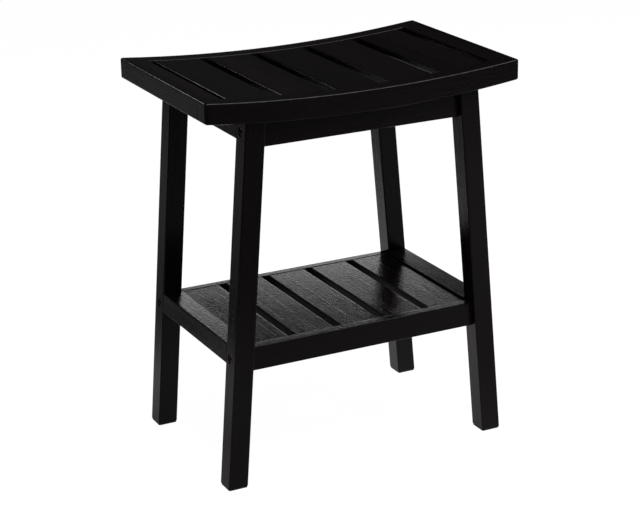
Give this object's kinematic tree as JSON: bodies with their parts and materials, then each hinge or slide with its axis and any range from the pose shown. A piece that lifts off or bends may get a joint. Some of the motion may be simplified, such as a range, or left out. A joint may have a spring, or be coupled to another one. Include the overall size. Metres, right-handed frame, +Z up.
{
  "type": "slatted storage stool",
  "caption": "Low bath stool in black lacquered bamboo: a curved slatted seat on splayed square legs, with aprons under the seat and a slatted storage shelf low between the legs.",
  "frame": {"origin": "on the floor, in the middle of the four feet", "axes": "+X along the stool's length to the right seen from the front, +Y to the back, +Z up"},
  "size_m": [0.402, 0.252, 0.4708],
  "materials": {
    "seat_frame_lacquer": "glossy black lacquer over laminated bamboo",
    "seat_slat_lacquer": "glossy black lacquer over laminated bamboo",
    "leg_lacquer": "glossy black lacquer over laminated bamboo",
    "apron_lacquer": "glossy black lacquer over laminated bamboo",
    "shelf_frame_lacquer": "glossy black lacquer over laminated bamboo",
    "shelf_slat_lacquer": "glossy black lacquer over laminated bamboo",
    "dowel_wood": "bare",
    "pad_rubber": "matte",
    "bolt_steel": "dark bronze",
    "nut_steel": "zinc plated"
  },
  "bodies": {
    "root": {"seat_front_rail": "seat_frame_lacquer", "seat_rear_rail": "seat_frame_lacquer", "seat_left_end_rail": "seat_frame_lacquer", "seat_right_end_rail": "seat_frame_lacquer", "seat_slat_1": "seat_slat_lacquer", "seat_slat_2": "seat_slat_lacquer", "seat_slat_3": "seat_slat_lacquer", "seat_slat_4": "seat_slat_lacquer", "seat_slat_5": "seat_slat_lacquer", "leg_front_left": "leg_lacquer", "leg_front_right": "leg_lacquer", "leg_rear_left": "leg_lacquer", "leg_rear_right": "leg_lacquer", "front_apron": "apron_lacquer", "rear_apron": "apron_lacquer", "left_apron": "apron_lacquer", "right_apron": "apron_lacquer", "shelf_front_rail": "shelf_frame_lacquer", "shelf_rear_rail": "shelf_frame_lacquer", "shelf_left_end_rail": "shelf_frame_lacquer", "shelf_right_end_rail": "shelf_frame_lacquer", "shelf_slat_1": "shelf_slat_lacquer", "shelf_slat_2": "shelf_slat_lacquer", "shelf_slat_3": "shelf_slat_lacquer", "shelf_slat_4": "shelf_slat_lacquer", "shelf_slat_5": "shelf_slat_lacquer", "seat_frame_dowels": "dowel_wood", "side_frame_dowels": "dowel_wood", "foot_pads": "pad_rubber", "frame_bolts": "bolt_steel", "barrel_nuts": "nut_steel", "apron_screws": "nut_steel"}
  },
  "joints": []
}
